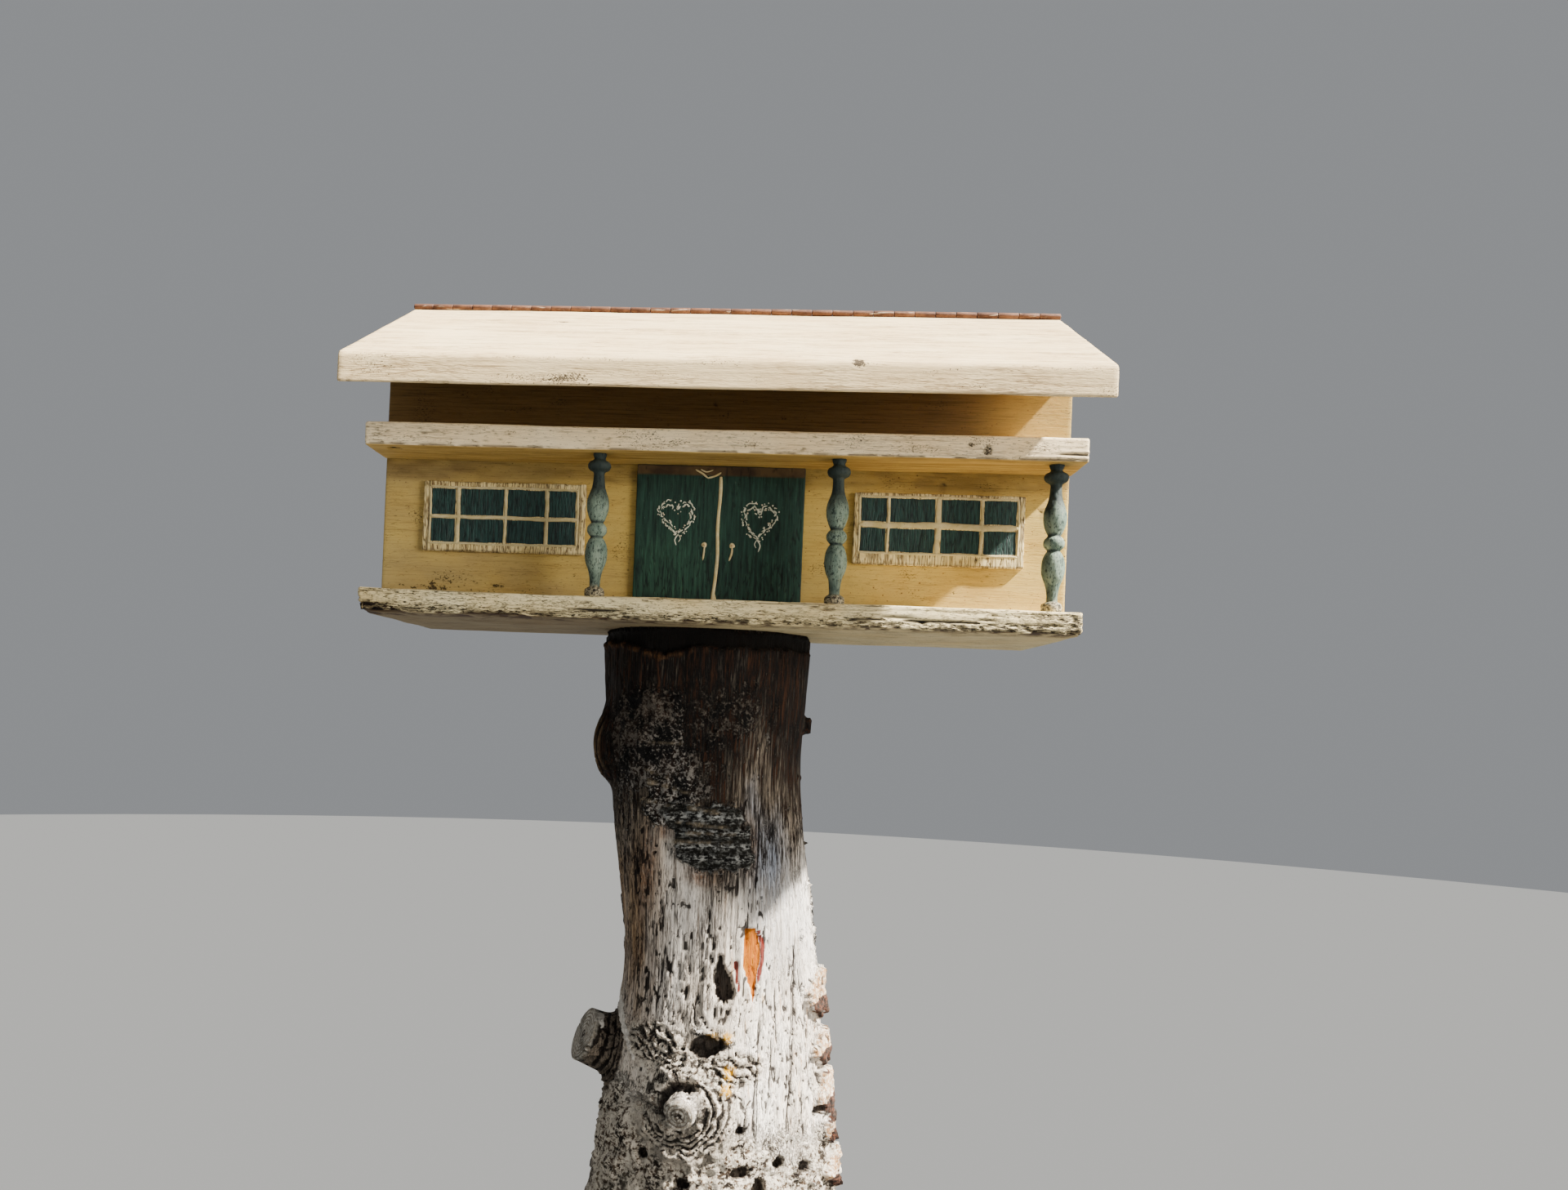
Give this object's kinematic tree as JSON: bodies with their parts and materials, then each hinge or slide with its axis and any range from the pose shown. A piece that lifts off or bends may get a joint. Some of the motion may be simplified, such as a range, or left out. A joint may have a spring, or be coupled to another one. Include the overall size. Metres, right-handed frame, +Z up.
{
  "type": "wooden birdhouse on a tree trunk",
  "caption": "Small painted cottage birdhouse with a porch, turned spindles and a hinged roof slope, standing on a bare dead tree trunk.",
  "frame": {"origin": "on the ground at the trunk's foot, under the middle of the house body", "axes": "+Z up along the trunk, +X to the right as the porch is faced, +Y from the porch to the back"},
  "size_m": [0.412, 0.2799, 1.6579],
  "materials": {
    "dead_wood": "bare, silvered by weather",
    "weathered_board": "worn cream paint over grey cracked wood",
    "cream_paint": "cracked matt cream paint",
    "wall_paint": "matt cream yellow paint",
    "roof_paint": "matt cream paint",
    "rusty_hinge": "rusty steel",
    "spindle_paint": "chalky grey green paint",
    "window_paint": "cream and dark green paint",
    "door_paint": "dark green paint"
  },
  "bodies": {
    "house": {"trunk": "dead_wood", "base_board": "weathered_board", "porch_roof_board": "cream_paint", "front_wall": "wall_paint", "back_wall": "wall_paint", "left_gable_wall": "wall_paint", "right_gable_wall": "wall_paint", "back_roof_board": "roof_paint", "hinge_fixed_leaf": "rusty_hinge", "hinge_pin": "rusty_hinge", "spindle_inner_left": "spindle_paint", "spindle_inner_right": "spindle_paint", "spindle_outer_right": "spindle_paint", "left_window_board": "window_paint", "right_window_board": "window_paint", "door_board": "door_paint"},
    "roof_lid": {"front_roof_lid": "roof_paint", "hinge_lid_leaf": "rusty_hinge"}
  },
  "joints": [
    {"name": "roof_lid_hinge", "type": "hinge", "parent": "house", "child": "roof_lid", "pos_m": [0, 0, 1.65598], "axis": [-1, 0, 0], "range_deg": [0, 228]}
  ]
}
